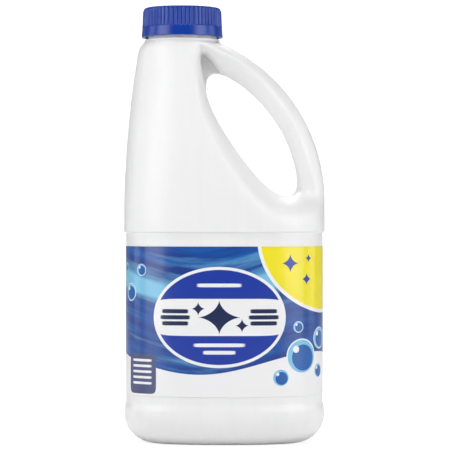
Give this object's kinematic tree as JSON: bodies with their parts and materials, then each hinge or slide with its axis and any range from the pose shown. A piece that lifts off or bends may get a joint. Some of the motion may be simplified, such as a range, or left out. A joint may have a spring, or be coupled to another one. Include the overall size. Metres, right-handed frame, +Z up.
{
  "type": "jug bottle",
  "caption": "White blow-moulded jug bottle with a hollow side handle, a wrap label and a ribbed blue screw cap.",
  "frame": {"origin": "middle of the body on the surface that the bottle stands on", "axes": "+Z up along the neck axis, +X towards the handle, -Y out of the front of the label; the mould's parting plane is XZ"},
  "size_m": [0.1222, 0.077, 0.2639],
  "materials": {
    "white_hdpe": "satin, slightly waxy",
    "blue_polypropylene": "semi-gloss",
    "liner_foam": "matt foam",
    "label_film": "printed film, glossy"
  },
  "bodies": {
    "bottle": {"bottle": "white_hdpe", "label": "label_film"},
    "liner": {"cap_liner": "liner_foam"},
    "cap": {"cap": "blue_polypropylene"}
  },
  "joints": [
    {"name": "cap_lift", "type": "slide", "parent": "bottle", "child": "liner", "axis": [0, 0, 1], "range_m": [0, 0.00636]},
    {"name": "cap_turn", "type": "hinge", "parent": "liner", "child": "cap", "pos_m": [-0.0257, 0, 0.255], "axis": [0, 0, 1], "range_deg": [0, 540]}
  ],
  "couplings": [
    {"joint": "cap_lift", "follows": "cap_turn", "m_per_rad": 0.00067323}
  ]
}
